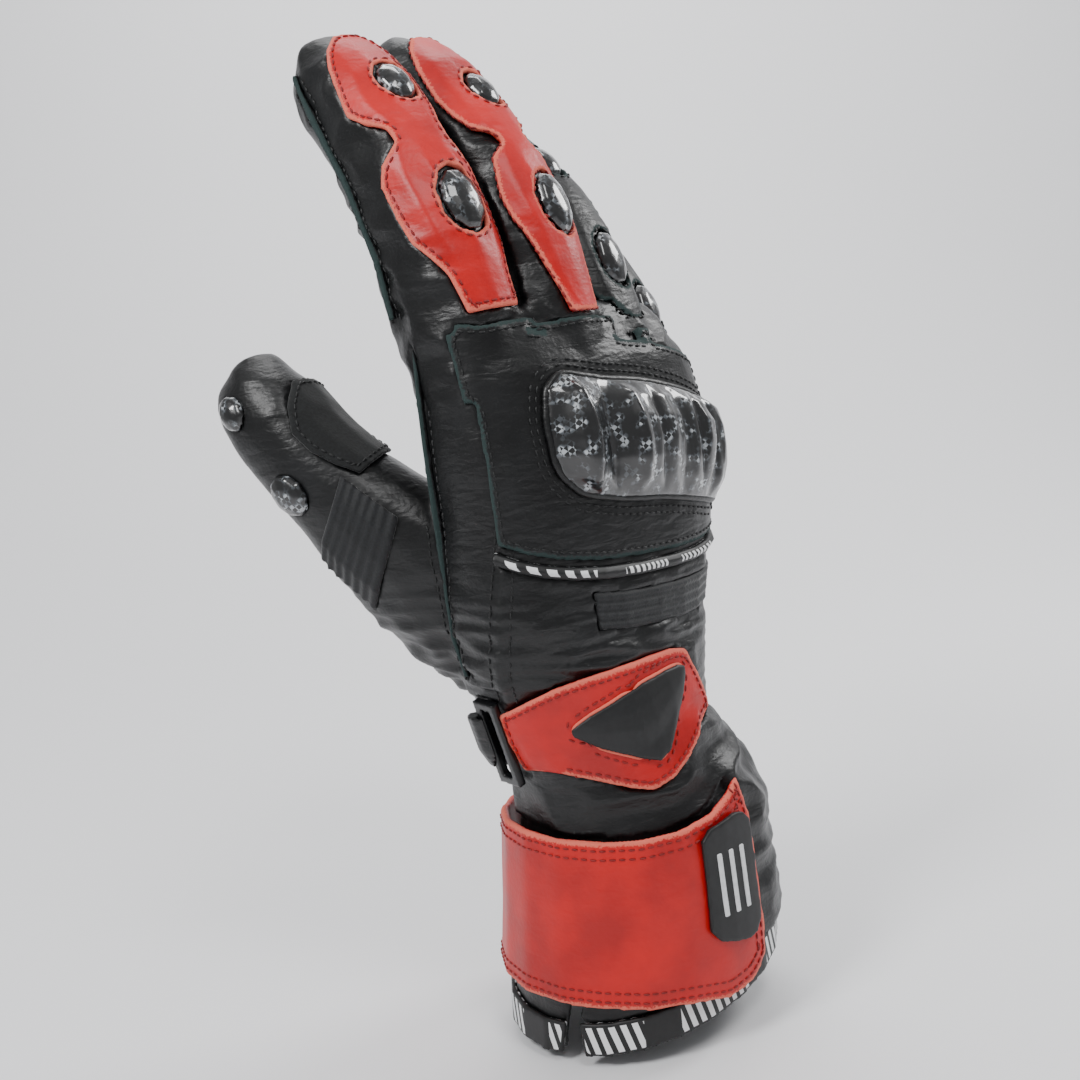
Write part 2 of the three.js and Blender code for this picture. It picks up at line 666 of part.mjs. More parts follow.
// The piping under the panel, and the ribs between it and the wrist
const PIPING_TURNS = { from: -70, to: 66 };
const PIPING_MIDDLE = { at: 0.46, atEnd: 0.395, dip: 0.05 };
const pipingHalf = PIPING_WIDTH / PALM_LENGTH / 2;
const pipingRows = [1, 0, -1].map((step) => ({
  ...PIPING_MIDDLE,
  ...PIPING_TURNS,
  at: PIPING_MIDDLE.at + step * pipingHalf,
  atEnd: PIPING_MIDDLE.atEnd + step * pipingHalf,
}));
const PIPING_EDGE = 0.6; // the piping's height at its edges, as a share of its middle
const pipingHeight = (s) => GAP + PIPING * (s > 0 && s < 1 ? 1 : PIPING_EDGE);
const piping = overHand(blanket(palmStations, gridFromRows(pipingRows, 10), SINK, pipingHeight));
place("back_piping", piping, rubber);
const BACK_RIB_COUNT = 4;
const BACK_RIBS = { low: 0.25, high: 0.345, from: -22, to: 60, slant: -0.015, dip: 0.02 };
place("back_stretch_panel", ribbed(palmStations, BACK_RIBS, BACK_RIB_COUNT, 6), blackLeather);

// The raised seam along the first finger's outer side and down the edge of the palm
const INDEX_SEAM = [
  { at: 0.93, turn: -84 },
  { at: 0.82, turn: -94 },
  { at: 0.6, turn: -98 },
  { at: 0.4, turn: -100 },
  { at: 0.26, turn: -103 },
];
const PALM_SEAM = [
  { at: 0.99, turn: -101 },
  { at: 0.86, turn: -103 },
  { at: 0.7, turn: -105 },
  { at: 0.46, turn: -108 },
  { at: 0.25, turn: -108 },
  { at: 0.15, turn: -105 },
];
function welt(stations, line, halfTurn) {
  const rows = line.map((spot) => ({ at: spot.at, from: spot.turn - halfTurn, to: spot.turn + halfTurn }));
  return blanket(stations, gridFromRows(rows, 1), SINK, GAP + WELT);
}
place("index_side_welt", overHand(welt(fingers.index, INDEX_SEAM, INDEX_WELT_TURN)), blackLeather);
place("palm_edge_welt", overHand(welt(palmStations, PALM_SEAM, PALM_WELT_TURN)), blackLeather);

// The sleeve, cut at a slanted hem and slit up from it on the thumb side
function belowHem(raise) {
  const geometry = new THREE.BoxGeometry(BIG, BIG, BIG);
  geometry.translate(0, 0, -BIG / 2);
  geometry.rotateY(-HEM_SLANT * DEGREE);
  geometry.translate(0, 0, SLEEVE_TOP - CUFF_LENGTH * HEM_MIDDLE + raise);
  return solidOf(geometry);
}
const slitRows = [
  { at: SLIT_TOP, from: SLIT_TURN - SLIT_TIP, to: SLIT_TURN + SLIT_TIP },
  { at: SLIT_FOOT, from: SLIT_TURN - SLIT_WIDTH, to: SLIT_TURN + SLIT_WIDTH },
];
const slit = blanket(sleeveStations, gridFromRows(slitRows, 2), -CUT_REACH, CUT_REACH);
const cuffCut = belowHem(0).add(slit);
const sleeve = sleeveTube(0).subtract(sleeveTube(-LEATHER).add(wristMouth)).subtract(cuffCut);
place("gauntlet_sleeve", sleeve, blackLeather);

// The binding along the hem
const bindingTube = sleeveTube(GAP + BINDING).subtract(sleeveTube(GAP)).intersect(belowHem(BINDING_HEIGHT));
place("sleeve_binding", bindingTube.subtract(cuffCut), rubber);

// The flap over the sleeve, as columns from the palm round the thumb side to the back: low and high are shares of
// the cuff length down from the wrist seam.
const FLAP_COLUMNS = [
  { turn: -172, low: 0.26, high: 0.74 },
  { turn: -150, low: 0.25, high: 0.745 },
  { turn: -132, low: 0.245, high: 0.75 },
  { turn: -114, low: 0.24, high: 0.75 },
  { turn: -96, low: 0.245, high: 0.755 },
  { turn: -78, low: 0.25, high: 0.76 },
  { turn: -60, low: 0.255, high: 0.765 },
  { turn: -42, low: 0.26, high: 0.78 },
  { turn: -24, low: 0.255, high: 0.79 },
  { turn: -9, low: 0.235, high: 0.815 },
  { turn: 2, low: 0.2, high: 0.8 },
  { turn: 7, low: 0.18, high: 0.77 },
  { turn: 11, low: 0.165, high: 0.74 },
];
function flapStand(s, t) {
  return THREE.MathUtils.lerp(FLAP_STAND_TOP, FLAP_STAND, Math.min(1, t / FLAP_STAND_SHARE));
}
const flapGrid = gridFromColumns(FLAP_COLUMNS, 5);
const flap = blanket(sleeveStations, flapGrid, flapStand, (s, t) => flapStand(s, t) + FLAP);
place("cuff_flap", flap.subtract(sleeveTube(GAP)), redLeather);

// The plain rubber badge on the flap
const BADGE_COLUMNS = [
  { turn: -17, low: 0.3, high: 0.58 },
  { turn: -13, low: 0.27, high: 0.62 },
  { turn: -6, low: 0.26, high: 0.64 },
  { turn: 0, low: 0.25, high: 0.65 },
  { turn: 4, low: 0.26, high: 0.64 },
  { turn: 7, low: 0.29, high: 0.6 },
];
const badgeFace = (s, t) => flapStand(s, t) + FLAP + GAP + BADGE;
const badge = blanket(sleeveStations, gridFromColumns(BADGE_COLUMNS, 3), FLAP_STAND, badgeFace);
const flapRoom = blanket(sleeveStations, flapGrid, 0, (s, t) => flapStand(s, t) + FLAP + GAP);
place("flap_badge", badge.subtract(flapRoom), rubber);

// The wrist strap crosses the seam between hand and sleeve; its places are heights in millimetres.
const wristStations = [
  ...sleeveStations.slice(0, 3).toReversed(),
  ...palmStations.slice(0, 3),
].map((station) => ({ ...station, at: station.centre.z }));
const STRAP_COLUMNS = [
  { turn: -90, low: -11, high: 5.5 },
  { turn: -80, low: -10.5, high: 7.5 },
  { turn: -68, low: -11, high: 10 },
  { turn: -52, low: -13.5, high: 13 },
  { turn: -38, low: -16.5, high: 14.5 },
  { turn: -28, low: -18, high: 15.2 },
  { turn: -16, low: -16, high: 15.8 },
  { turn: -4, low: -12.5, high: 16.2 },
  { turn: 8, low: -8.5, high: 16.2 },
  { turn: 16, low: -6, high: 15 },
  { turn: 24, low: -4, high: 8 },
  { turn: 29, low: -3, high: 0.5 },
];
const strapUnder = overlayForm.add(sleeveTube(GAP));
const strap = blanket(wristStations, gridFromColumns(STRAP_COLUMNS, 4), SINK, GAP + STRAP);
place("wrist_strap", strap.subtract(strapUnder), redLeather);
const PAD_COLUMNS = [
  { turn: -51, low: -0.2, high: 1.8 },
  { turn: -40, low: -4.4, high: 5.0 },
  { turn: -26, low: -9.0, high: 7.8 },
  { turn: -19, low: -10.6, high: 9.2 },
  { turn: -11, low: -8.4, high: 10.6 },
  { turn: 0, low: -1.6, high: 11.8 },
  { turn: 7, low: 4.4, high: 12.2 },
  { turn: 11, low: 9.2, high: 11.4 },
];
const padLow = 2 * GAP + STRAP;
const PAD_EDGE = 0.45; // the pad's height at its edge, as a share of its middle
function padHigh(s, t) {
  const bow = Math.sin(s * Math.PI) * Math.sin(t * Math.PI);
  return padLow + STRAP_PAD * THREE.MathUtils.lerp(PAD_EDGE, 1, bow);
}
const pad = blanket(wristStations, gridFromColumns(PAD_COLUMNS, 4), GAP, padHigh);
const strapRoom = blanket(wristStations, gridFromColumns(STRAP_COLUMNS, 4), SINK, padLow);
place("strap_pad", pad.subtract(strapRoom), rubber);

// The ring that the strap runs from, and the loop that holds it
const RING_SPOT = { at: -3, turn: -96.5 };
const ringFrame = new THREE.BoxGeometry(RING_WIDTH, RING_LENGTH, RING_BAR);
const ringHole = new THREE.BoxGeometry(RING_WIDTH - 2 * RING_BAR, RING_LENGTH - 2 * RING_BAR, BIG);
const ringLift = GAP + RING_BAR / 2 + RING_LIFT;
const ring = setOn(ringFrame, wristStations, RING_SPOT.at, RING_SPOT.turn, ringLift).subtract(
  setOn(ringHole, wristStations, RING_SPOT.at, RING_SPOT.turn, ringLift),
);
place("strap_ring", ring.subtract(strapUnder).subtract(strap), rubber);
const ringRoom = setOn(
  new THREE.BoxGeometry(RING_WIDTH + 2 * GAP, RING_LENGTH + 2 * GAP, RING_BAR + 2 * GAP),
  wristStations,
  RING_SPOT.at,
  RING_SPOT.turn,
  ringLift,
);
const LOOP_COLUMNS = [
  { turn: -98, low: -11, high: 4 },
  { turn: -104, low: -11, high: 4 },
  { turn: -110, low: -11, high: 4 },
  { turn: -116, low: -11, high: 4 },
];
const loopHigh = (s) => GAP + LOOP_RISE * THREE.MathUtils.lerp(LOOP_EDGE, 1, Math.sin(s * Math.PI));
const loop = blanket(wristStations, gridFromColumns(LOOP_COLUMNS, 3), SINK, loopHigh);
place("ring_loop", loop.subtract(strapUnder).subtract(ringRoom), blackLeather);

export default glove;
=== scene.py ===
# %% [markdown]
# A leather racing gauntlet for the right hand, dressed in Blender around its CAD frame. The glove is thin leather
# sewn in layers, so the lesson takes each layer's CAD solid as the pattern piece, softens a fine copy of it as a
# hand does when it wears leather in, and then sews, bares the cut edges and finishes the surface.

import math

import bpy
from mathutils import Matrix, Quaternion, Vector, noise
from mathutils.bvhtree import BVHTree
from mathutils.kdtree import KDTree


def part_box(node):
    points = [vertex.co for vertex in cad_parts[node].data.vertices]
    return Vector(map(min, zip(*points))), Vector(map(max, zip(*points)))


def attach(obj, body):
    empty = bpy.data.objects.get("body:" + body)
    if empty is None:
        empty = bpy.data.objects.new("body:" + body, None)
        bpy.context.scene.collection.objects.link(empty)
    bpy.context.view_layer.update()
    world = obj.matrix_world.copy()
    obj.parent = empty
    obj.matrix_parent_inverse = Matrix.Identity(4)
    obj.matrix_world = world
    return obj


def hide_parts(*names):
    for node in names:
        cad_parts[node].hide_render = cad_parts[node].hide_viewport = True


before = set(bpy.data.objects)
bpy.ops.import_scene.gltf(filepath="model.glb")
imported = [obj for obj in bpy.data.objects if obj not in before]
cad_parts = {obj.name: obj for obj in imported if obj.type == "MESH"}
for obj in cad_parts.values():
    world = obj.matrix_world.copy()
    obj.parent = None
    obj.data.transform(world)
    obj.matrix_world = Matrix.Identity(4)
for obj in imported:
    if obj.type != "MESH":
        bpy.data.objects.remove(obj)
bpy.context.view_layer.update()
MM = 0.001
print("the frame holds", len(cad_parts), "pattern pieces")

# %% [markdown]
# Colours are picked as hex values off a colour chart, which holds sRGB. Shaders want linear light, so one function
# turns them. A second small function adds a node with its settings and links, so that each finish reads as a recipe.

# %% Colours and nodes


def linear(hex_colour):
    """The linear colour of an sRGB hex value."""
    channels = [int(hex_colour[k : k + 2], 16) / 255 for k in (1, 3, 5)]
    return tuple(c / 12.92 if c <= 0.04045 else ((c + 0.055) / 1.055) ** 2.4 for c in channels) + (1.0,)


def node(material, kind, settings=None, **links):
    """Adds a node: settings are its own properties, links are socket values or the sockets that feed it."""
    made = material.node_tree.nodes.new(kind)
    for name, value in (settings or {}).items():
        setattr(made, name, value)
    for name, value in links.items():
        socket = made.inputs[int(name[1:])] if name[0] == "i" and name[1:].isdigit() else made.inputs[name.replace("_", " ")]
        if isinstance(value, bpy.types.NodeSocket):
            material.node_tree.links.new(value, socket)
        else:
            socket.default_value = value
    return made


def finish(name, roughness, ior=1.5, coat=0.0, coat_roughness=0.03):
    """A new material with its shader, which is its last node."""
    material = bpy.data.materials.new(name)
    material.use_nodes = True
    shader = material.node_tree.nodes["Principled BSDF"]
    shader.inputs["Roughness"].default_value = roughness
    shader.inputs["IOR"].default_value = ior
    shader.inputs["Coat Weight"].default_value = coat
    shader.inputs["Coat Roughness"].default_value = coat_roughness
    return material, shader


def ramp(material, factor, stops):
    """A colour ramp through (place, hex colour) stops."""
    made = node(material, "ShaderNodeValToRGB", i0=factor)
    while len(made.color_ramp.elements) < len(stops):
        made.color_ramp.elements.new(0.5)
    for element, (place, colour) in zip(made.color_ramp.elements, stops):
        element.position = place
        element.color = linear(colour)
    return made.outputs[0]


# %% [markdown]
# Grain leather is cowhide whose hair side was pressed: pebbles about a millimetre apart with finer pores between.
# Voronoi cells give the pebbles, noise the pores and the wear. Where a piece carries a "rim" attribute, its cut edge
# shows: bare fibres, paler and rough, as on suede. Colours mix by that attribute, which each piece stores itself.

# %% Leather
PEBBLE = 1.1 * MM  # real grain is nearer 0.5 mm, drawn twice as coarse so that the render shows it
PORE = 0.35 * MM


WRINKLE = 9 * MM  # soft creases run round the hand, this far apart along it and
WRINKLE_HEIGHT = 2.6 * MM  # this far apart up it


def leather(name, dark, base, light, raw, roughness, bump, creased):
    """Grain leather in three tones with a raw edge colour."""
    material, shader = finish(name, roughness, ior=1.48)
    place = node(material, "ShaderNodeTexCoord").outputs["Object"]
    pebbles = node(material, "ShaderNodeTexVoronoi", {"feature": "SMOOTH_F1"}, Vector=place, Scale=1 / PEBBLE)
    pores = node(material, "ShaderNodeTexNoise", None, Vector=place, Scale=1 / PORE, Detail=3.0)
    cloud = node(material, "ShaderNodeTexNoise", None, Vector=place, Scale=1 / (14 * MM), Detail=4.0)
    tone = ramp(material, cloud.outputs[0], [(0.3, dark), (0.52, base), (0.78, light)])
    rim = node(material, "ShaderNodeAttribute", {"attribute_name": "rim"}).outputs["Fac"]
    fuzz = node(material, "ShaderNodeTexNoise", None, Vector=place, Scale=1 / (0.6 * MM), Detail=2.0)
    ragged = node(material, "ShaderNodeMath", {"operation": "MULTIPLY_ADD"}, i0=fuzz.outputs[0], i1=0.9, i2=-0.45)
    edge = node(material, "ShaderNodeMath", {"operation": "ADD"}, i0=rim, i1=ragged.outputs[0])
    mask = node(material, "ShaderNodeMapRange", None, Value=edge.outputs[0], From_Min=0.42, From_Max=0.62).outputs[0]
    colour = node(material, "ShaderNodeMix", {"data_type": "RGBA"}, Factor=mask, i6=tone, i7=linear(raw))
    material.node_tree.links.new(colour.outputs[2], shader.inputs["Base Color"])
    gloss = node(material, "ShaderNodeMapRange", None, Value=cloud.outputs[0], To_Min=roughness - 0.07, To_Max=roughness + 0.1)
    worn = node(material, "ShaderNodeMath", {"operation": "MULTIPLY_ADD", "use_clamp": True}, i0=mask, i1=0.5, i2=gloss.outputs[0])
    material.node_tree.links.new(worn.outputs[0], shader.inputs["Roughness"])
    grain = node(material, "ShaderNodeMath", {"operation": "MULTIPLY_ADD"}, i0=pores.outputs[0], i1=0.35, i2=pebbles.outputs[0])
    raised = node(material, "ShaderNodeBump", None, Strength=bump, Distance=0.12 * MM, Height=grain.outputs[0])
    pressed = node(material, "ShaderNodeMapping", None, Vector=place, Scale=(1.0, 1.0, WRINKLE / WRINKLE_HEIGHT))
    lines = node(material, "ShaderNodeTexNoise", None, Vector=pressed.outputs[0], Scale=1 / WRINKLE, Detail=6.0, Distortion=0.6)
    deep = node(
        material,
        "ShaderNodeBump",
        None,
        Strength=creased,
        Distance=1.2 * MM,
        Height=lines.outputs[0],
        Normal=raised.outputs[0],
    )
    material.node_tree.links.new(deep.outputs[0], shader.inputs["Normal"])
    return material


black_leather = leather("black cowhide", "#050506", "#08090a", "#0f1012", "#243433", 0.38, 0.55, 0.32)
red_leather = leather("red cowhide", "#a30302", "#bd0403", "#cc0805", "#dc6a58", 0.4, 0.35, 0.1)
print("leathers:", black_leather.name, "and", red_leather.name)

# %% [markdown]
# Soft leather for the thumb's inner patch is suede: the flesh side, brushed, with no gloss. The stretch panels are
# knitted nylon between sewn ribs, so they are matt too, with a fine knit.

# %% Suede and knit


def brushed(name, dark, light, spacing, roughness):
    """A matt brushed or knitted face: a fine nap over a soft mottle."""
    material, shader = finish(name, roughness, ior=1.45)
    place = node(material, "ShaderNodeTexCoord").outputs["Object"]
    nap = node(material, "ShaderNodeTexNoise", None, Vector=place, Scale=1 / spacing, Detail=4.0)
    material.node_tree.links.new(ramp(material, nap.outputs[0], [(0.3, dark), (0.7, light)]), shader.inputs["Base Color"])
    raised = node(material, "ShaderNodeBump", None, Strength=0.5, Distance=0.15 * MM, Height=nap.outputs[0])
    material.node_tree.links.new(raised.outputs[0], shader.inputs["Normal"])
    shader.inputs["Sheen Weight"].default_value = 0.25
    shader.inputs["Sheen Roughness"].default_value = 0.4
    return material


suede = brushed("black suede", "#090a0a", "#17191a", 0.7 * MM, 0.85)
knit = brushed("black nylon knit", "#0a0b0c", "#1b1d20", 0.5 * MM, 0.68)

# %% [markdown]
# The hard guards are carbon fibre: tows of black filament woven over and under, set in clear resin and polished.
# Each tow shines along its own run, so neighbouring squares look bright or dark: that shine is painted into the base
# colour as light grey squares, a painted sheen chosen by two crossed waves and lit patches, and a clear coat over a
# rough weave gives the wet gloss.

# %% Carbon fibre
TOW = 1.15 * MM  # width of one tow


def carbon_fibre(name):
    """Twill weave under clear resin, with the tows' sheen painted into the base colour as light grey squares."""
    material, shader = finish(name, 0.3, ior=1.5, coat=1.0, coat_roughness=0.015)
    place = node(material, "ShaderNodeTexCoord").outputs["Object"]
    turned = node(material, "ShaderNodeMapping", None, Vector=place, Rotation=(0.3, math.radians(40), 0.25))
    squares = node(material, "ShaderNodeTexChecker", None, Vector=turned.outputs[0], Scale=1 / TOW)
    fine = node(material, "ShaderNodeTexNoise", None, Vector=place, Scale=1 / (0.2 * MM), Detail=2.0)
    # painted sheen: a noise of lit patches picks which squares of the weave are painted light
    sheen_patches = node(material, "ShaderNodeTexNoise", None, Vector=turned.outputs[0], Scale=1 / (3.2 * MM), Detail=1.0)
    lit = node(material, "ShaderNodeMapRange", None, Value=sheen_patches.outputs[0], From_Min=0.42, From_Max=0.7)
    shine = node(material, "ShaderNodeMath", {"operation": "MULTIPLY"}, i0=squares.outputs["Fac"], i1=lit.outputs[0])
    weave_and_painted_sheen = node(material, "ShaderNodeMath", {"operation": "MULTIPLY_ADD"}, i0=fine.outputs[0], i1=0.22, i2=shine.outputs[0])
    # painted sheen: the lit squares are painted light grey into the base colour, over a fine dark speckle
    tone = ramp(material, weave_and_painted_sheen.outputs[0], [(0.1, "#040405"), (0.35, "#0f1012"), (0.75, "#4d5257"), (1.0, "#a9aeb2")])
    material.node_tree.links.new(tone, shader.inputs["Base Color"])
    raised = node(material, "ShaderNodeBump", None, Strength=0.2, Distance=0.08 * MM, Height=squares.outputs["Fac"])
    material.node_tree.links.new(raised.outputs[0], shader.inputs["Normal"])
    return material


carbon = carbon_fibre("woven carbon in resin")

# %% [markdown]
# Moulded rubber and nylon: even black with a faint moulded mottle. The bands carry a plain printed pattern of
# slanted white bars. The print is drawn in the piece's own space, and kept off the band's edges by its rim.

# %% Rubber, nylon and print


def moulded(name, dark, light, roughness):
    """Moulded black with a soft mottle."""
    material, shader = finish(name, roughness)
    place = node(material, "ShaderNodeTexCoord").outputs["Object"]
    mottle = node(material, "ShaderNodeTexNoise", None, Vector=place, Scale=1 / (1.5 * MM), Detail=5.0)
    material.node_tree.links.new(ramp(material, mottle.outputs[0], [(0.3, dark), (0.7, light)]), shader.inputs["Base Color"])
    raised = node(material, "ShaderNodeBump", None, Strength=0.15, Distance=0.08 * MM, Height=mottle.outputs[0])
    material.node_tree.links.new(raised.outputs[0], shader.inputs["Normal"])
    return material, shader


rubber = moulded("moulded rubber", "#0a0a0b", "#141516", 0.5)[0]
nylon = moulded("moulded nylon", "#08080a", "#101113", 0.3)[0]
white_rubber = moulded("white rubber", "#cfd0d2", "#e2e3e5", 0.5)[0]


def printed(name):
    """Rubber band with slanted white bars: "run" is the way along the band, "rim" is high at its edges."""
    material, shader = moulded(name, "#0a0a0b", "#131415", 0.5)
    place = node(material, "ShaderNodeTexCoord").outputs["Object"]
    along = node(material, "ShaderNodeAttribute", {"attribute_name": "run"}).outputs["Fac"]
    rim = node(material, "ShaderNodeAttribute", {"attribute_name": "rim"}).outputs["Fac"]
    height = node(material, "ShaderNodeSeparateXYZ", None, Vector=place).outputs["Z"]
    slanted = node(material, "ShaderNodeMath", {"operation": "MULTIPLY_ADD"}, i0=height, i1=0.35, i2=along)
    step = node(material, "ShaderNodeMath", {"operation": "PINGPONG"}, i0=slanted.outputs[0], i1=BAR_STEP / 2)
    bar = node(material, "ShaderNodeMath", {"operation": "LESS_THAN"}, i0=step.outputs[0], i1=BAR_STEP * 0.27)
    group = node(material, "ShaderNodeMath", {"operation": "PINGPONG"}, i0=along, i1=BAR_GROUP / 2)
    shown = node(material, "ShaderNodeMath", {"operation": "LESS_THAN"}, i0=group.outputs[0], i1=BAR_GROUP * 0.36)
    clear = node(material, "ShaderNodeMath", {"operation": "LESS_THAN"}, i0=rim, i1=0.55)
    both = node(material, "ShaderNodeMath", {"operation": "MULTIPLY"}, i0=bar.outputs[0], i1=shown.outputs[0])
    ink = node(material, "ShaderNodeMath", {"operation": "MULTIPLY"}, i0=both.outputs[0], i1=clear.outputs[0])
    black = shader.inputs["Base Color"].links[0].from_socket
    colour = node(material, "ShaderNodeMix", {"data_type": "RGBA"}, Factor=ink.outputs[0], i6=black, i7=linear("#e4e5e6"))
    material.node_tree.links.new(colour.outputs[2], shader.inputs["Base Color"])
    return material


BAR_STEP = 3.4 * MM  # from bar to bar
BAR_GROUP = 40 * MM  # from group to group
printed_band = printed("printed rubber band")
thread_red = moulded("waxed red thread", "#6e0605", "#8c0c09", 0.6)[0]
thread_black = moulded("waxed black thread", "#050606", "#101213", 0.55)[0]

# %% [markdown]
# A CAD node's mesh is loose triangles, so every piece starts as a merged copy. A voxel remesh turns the facets into
# an even fine skin, and a smoothing pass rounds it as worked leather is. The copy's size hardly changes.

# %% Pattern pieces


def alone(piece):
    """Only this piece is selected and active."""
    bpy.ops.object.select_all(action="DESELECT")
    piece.select_set(True)
    bpy.context.view_layer.objects.active = piece


def merged_copy(node_name, name):
    """A merged copy of a CAD node, as a new piece."""
    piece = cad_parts[node_name].copy()
    piece.data = piece.data.copy()
    piece.name = name
    bpy.context.scene.collection.objects.link(piece)
    piece.parent = None
    piece.matrix_world = Matrix.Identity(4)
    piece.data.transform(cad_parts[node_name].matrix_world)
    piece.hide_render = False
    piece.hide_viewport = False
    piece.hide_set(False)
    piece.data.materials.clear()
    alone(piece)
    bpy.ops.object.mode_set(mode="EDIT")
    bpy.ops.mesh.select_all(action="SELECT")
    bpy.ops.mesh.remove_doubles(threshold=0.005 * MM)
    bpy.ops.object.mode_set(mode="OBJECT")
    return piece


def modify(piece, kind, **settings):
    """Adds a modifier and applies it."""
    alone(piece)
    modifier = piece.modifiers.new(kind.lower(), kind)
    for name, value in settings.items():
        setattr(modifier, name, value)
    bpy.ops.object.modifier_apply(modifier=modifier.name)


def soften(piece, voxel, passes):
    """An even fine skin in place of the facets."""
    modify(piece, "REMESH", mode="VOXEL", voxel_size=voxel * MM, adaptivity=0.0)
    modify(piece, "SMOOTH", factor=0.5, iterations=passes)
    piece.data.shade_smooth()


def relax(piece, passes, loops=(), clear=(1.2, 5.0), swell=0.0):
    """Smooths away the facets, but not within a few millimetres of the piece's cut edges."""
    before = [vertex.co.copy() for vertex in piece.data.vertices]
    modify(piece, "SMOOTH", factor=0.5, iterations=passes)
    edge = [point for loop in loops for point, _ in loop]
    tree = KDTree(max(1, len(edge)))
    for k, point in enumerate(edge):
        tree.insert(point, k)
    tree.balance()
    normals = [vertex.normal.copy() for vertex in piece.data.vertices]
    for old, vertex, normal in zip(before, piece.data.vertices, normals):
        distance = tree.find(old)[2] / MM if edge else clear[1]
        share = max(0.0, min(1.0, (distance - clear[0]) / (clear[1] - clear[0])))
        vertex.co = old.lerp(vertex.co, share) + normal * swell * share * MM
    piece.data.update()
    piece.data.shade_smooth()


def wear(piece, material, slot, *nodes):
    """Gives a finished piece its material and its place on the glove."""
    piece.data.materials.clear()
    piece.data.materials.append(material)
    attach(piece, "root")
    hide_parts(*nodes)


# %% [markdown]
# The hand itself is one hollow wall. Its outside needs fine folds, while its inside stays plain. So the wall is
# parted at the flat wrist rim, the outside is softened, and the plain inside is cut out of it again.

# %% The hand's outside and inside
WRIST_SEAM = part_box("hand_shell")[0][2]


def parted(node_name, rim_height):
    """The outside and inside of a hollow wall as two closed forms: the faces of its flat rim are taken out."""
    shell = merged_copy(node_name, "shell")
    bpy.ops.object.mode_set(mode="EDIT")
    bpy.ops.mesh.select_mode(type="FACE")
    bpy.ops.mesh.select_all(action="DESELECT")
    bpy.ops.object.mode_set(mode="OBJECT")
    for polygon in shell.data.polygons:
        polygon.select = all(abs(shell.data.vertices[k].co.z - rim_height) < 0.02 * MM for k in polygon.vertices)
    bpy.ops.object.mode_set(mode="EDIT")
    bpy.ops.mesh.delete(type="FACE")
    bpy.ops.mesh.separate(type="LOOSE")
    bpy.ops.object.mode_set(mode="OBJECT")
    parts = sorted(bpy.context.selected_objects, key=lambda part: -max(part.dimensions))
    for part in parts:
        alone(part)
        bpy.ops.object.mode_set(mode="EDIT")
        bpy.ops.mesh.select_mode(type="EDGE")
        bpy.ops.mesh.select_all(action="DESELECT")
        bpy.ops.mesh.select_non_manifold()
        bpy.ops.mesh.edge_face_add()
        bpy.ops.mesh.select_all(action="SELECT")
        bpy.ops.mesh.normals_make_consistent(inside=False)
        bpy.ops.object.mode_set(mode="OBJECT")
    return parts


hand, hand_room = parted("hand_shell", WRIST_SEAM)[:2]
hand.name = "hand_leather"
soften(hand, 0.95, 6)
relax(hand, 26, swell=0.25)
print("hand outside:", len(hand.data.polygons), "faces")

# %% [markdown]
# Worn leather folds where the hand bends: across the finger joints, in puffs beside the seams, and in fine creases
# over the wrist. Each vertex is moved along its normal by ridged noise, stretched round the limb, and strongest
# where the photograph shows creasing.

# %% Folds in the hand


def ridged(point, across, along, seed):
    """Ridged noise, stretched so that its creases run round the limb."""
    cell = Vector((point.x / across, point.y / across, point.z / along)) + Vector((seed, seed * 0.7, -seed))
    return 1 - 2 * abs(noise.noise(cell))


def band(value, low, high, soft):
    """1 between low and high, fading over soft."""
    rise = max(0.0, min(1.0, (value - low) / soft + 0.5))
    fall = max(0.0, min(1.0, (high - value) / soft + 0.5))
    return rise * fall


def fold(piece, height):
    """Moves every vertex along its normal by height(point, normal)."""
    moves = [(vertex, vertex.normal.copy()) for vertex in piece.data.vertices]
    for vertex, normal in moves:
        vertex.co += normal * height(vertex.co, normal)
    piece.data.update()


LAYERED = [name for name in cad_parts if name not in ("hand_shell", "gauntlet_sleeve")]


def skin_of(node_names):
    """A tree of the CAD skins of several nodes."""
    points = []
    faces = []
    for name in node_names:
        start = len(points)
        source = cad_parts[name]
        points += [source.matrix_world @ vertex.co for vertex in source.data.vertices]
        faces += [[start + k for k in polygon.vertices] for polygon in source.data.polygons]
    return BVHTree.FromPolygons(points, faces)


layers_over = skin_of(LAYERED)
under_hand = skin_of(["hand_shell", "gauntlet_sleeve"])
COVER_REACH = 6 * MM


def uncovered(point, normal, height):
    """Folds never push up into a layer that lies over them."""
    covered = layers_over.ray_cast(point + normal * 0.1 * MM, normal, COVER_REACH)[0] is not None
    return min(height, 0.0) * 0.4 if covered else height


PALM_AXIS = Vector((-2 * MM, 2 * MM, 0))


def on_hand(height, turn):
    """The place on the hand's skin at a height in mm and degrees round it from its back."""
    way = Vector((math.sin(math.radians(turn)), -math.cos(math.radians(turn)), 0))
    start = PALM_AXIS + Vector((0, 0, height * MM)) + way * 200 * MM
    return under_hand.ray_cast(start, -way)[0]


SIDE_SEAM = [(86, -64), (74, -66), (60, -69), (46, -72), (32, -75), (20, -78), (10, -80)]  # height in mm, turn
seam_line = []
for (low, turn_low), (high, turn_high) in zip(SIDE_SEAM, SIDE_SEAM[1:]):
    for k in range(12):
        seam_line.append(on_hand(low + (high - low) * k / 12, turn_low + (turn_high - turn_low) * k / 12))
seam_tree = KDTree(len(seam_line))
for k, point in enumerate(seam_line):
    seam_tree.insert(point, k)
seam_tree.balance()


